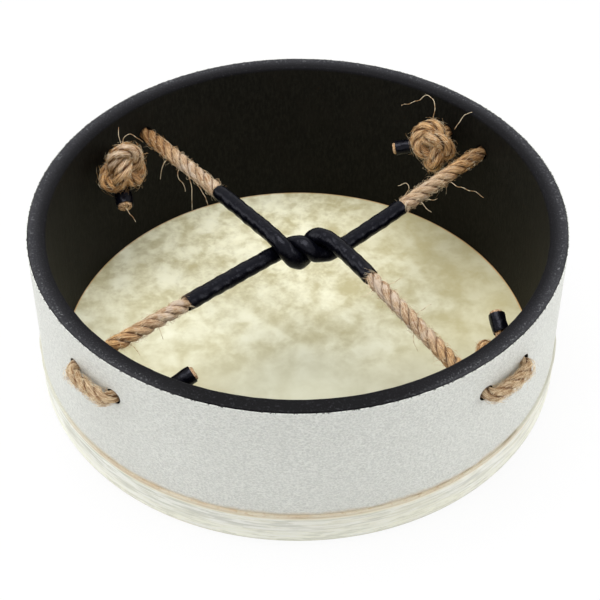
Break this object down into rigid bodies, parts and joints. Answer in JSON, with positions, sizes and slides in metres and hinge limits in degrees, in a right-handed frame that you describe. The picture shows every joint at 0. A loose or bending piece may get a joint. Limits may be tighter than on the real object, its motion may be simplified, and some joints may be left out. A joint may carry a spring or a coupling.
{
  "type": "frame drum",
  "caption": "Shallow hoop drum with one glued head, open at the back, held by a handle of two crossed ropes with black sleeves and stopper knots.",
  "frame": {"origin": "middle of the head's playing face, which the drum lies on", "axes": "+Z along the drum's axis from the head to the open back, +Y away from the side nearest the viewer, +X to that viewer's right"},
  "size_m": [0.2676, 0.2676, 0.0894],
  "materials": {
    "shell": "black stained fibre hoop, slightly rough rim",
    "shell_cover": "off-white, fine leather-like texture",
    "drum_head": "translucent mottled cream fibre head",
    "glue_line": "dried tan adhesive",
    "rope_nw_se": "laid natural-fibre rope",
    "rope_sw_ne": "laid natural-fibre rope",
    "sleeve_nw_se": "shrunk black sleeve, satin gloss",
    "sleeve_sw_ne": "shrunk black sleeve, satin gloss",
    "tail_cap_nw": "shrunk black sleeve",
    "tail_cap_ne": "shrunk black sleeve",
    "tail_cap_sw": "shrunk black sleeve",
    "tail_cap_se": "shrunk black sleeve"
  },
  "bodies": {
    "root": {"shell": "shell", "shell_cover": "shell_cover", "drum_head": "drum_head", "glue_line": "glue_line", "rope_nw_se": "rope_nw_se", "rope_sw_ne": "rope_sw_ne", "sleeve_nw_se": "sleeve_nw_se", "sleeve_sw_ne": "sleeve_sw_ne", "tail_cap_nw": "tail_cap_nw", "tail_cap_ne": "tail_cap_ne", "tail_cap_sw": "tail_cap_sw", "tail_cap_se": "tail_cap_se"}
  },
  "joints": []
}
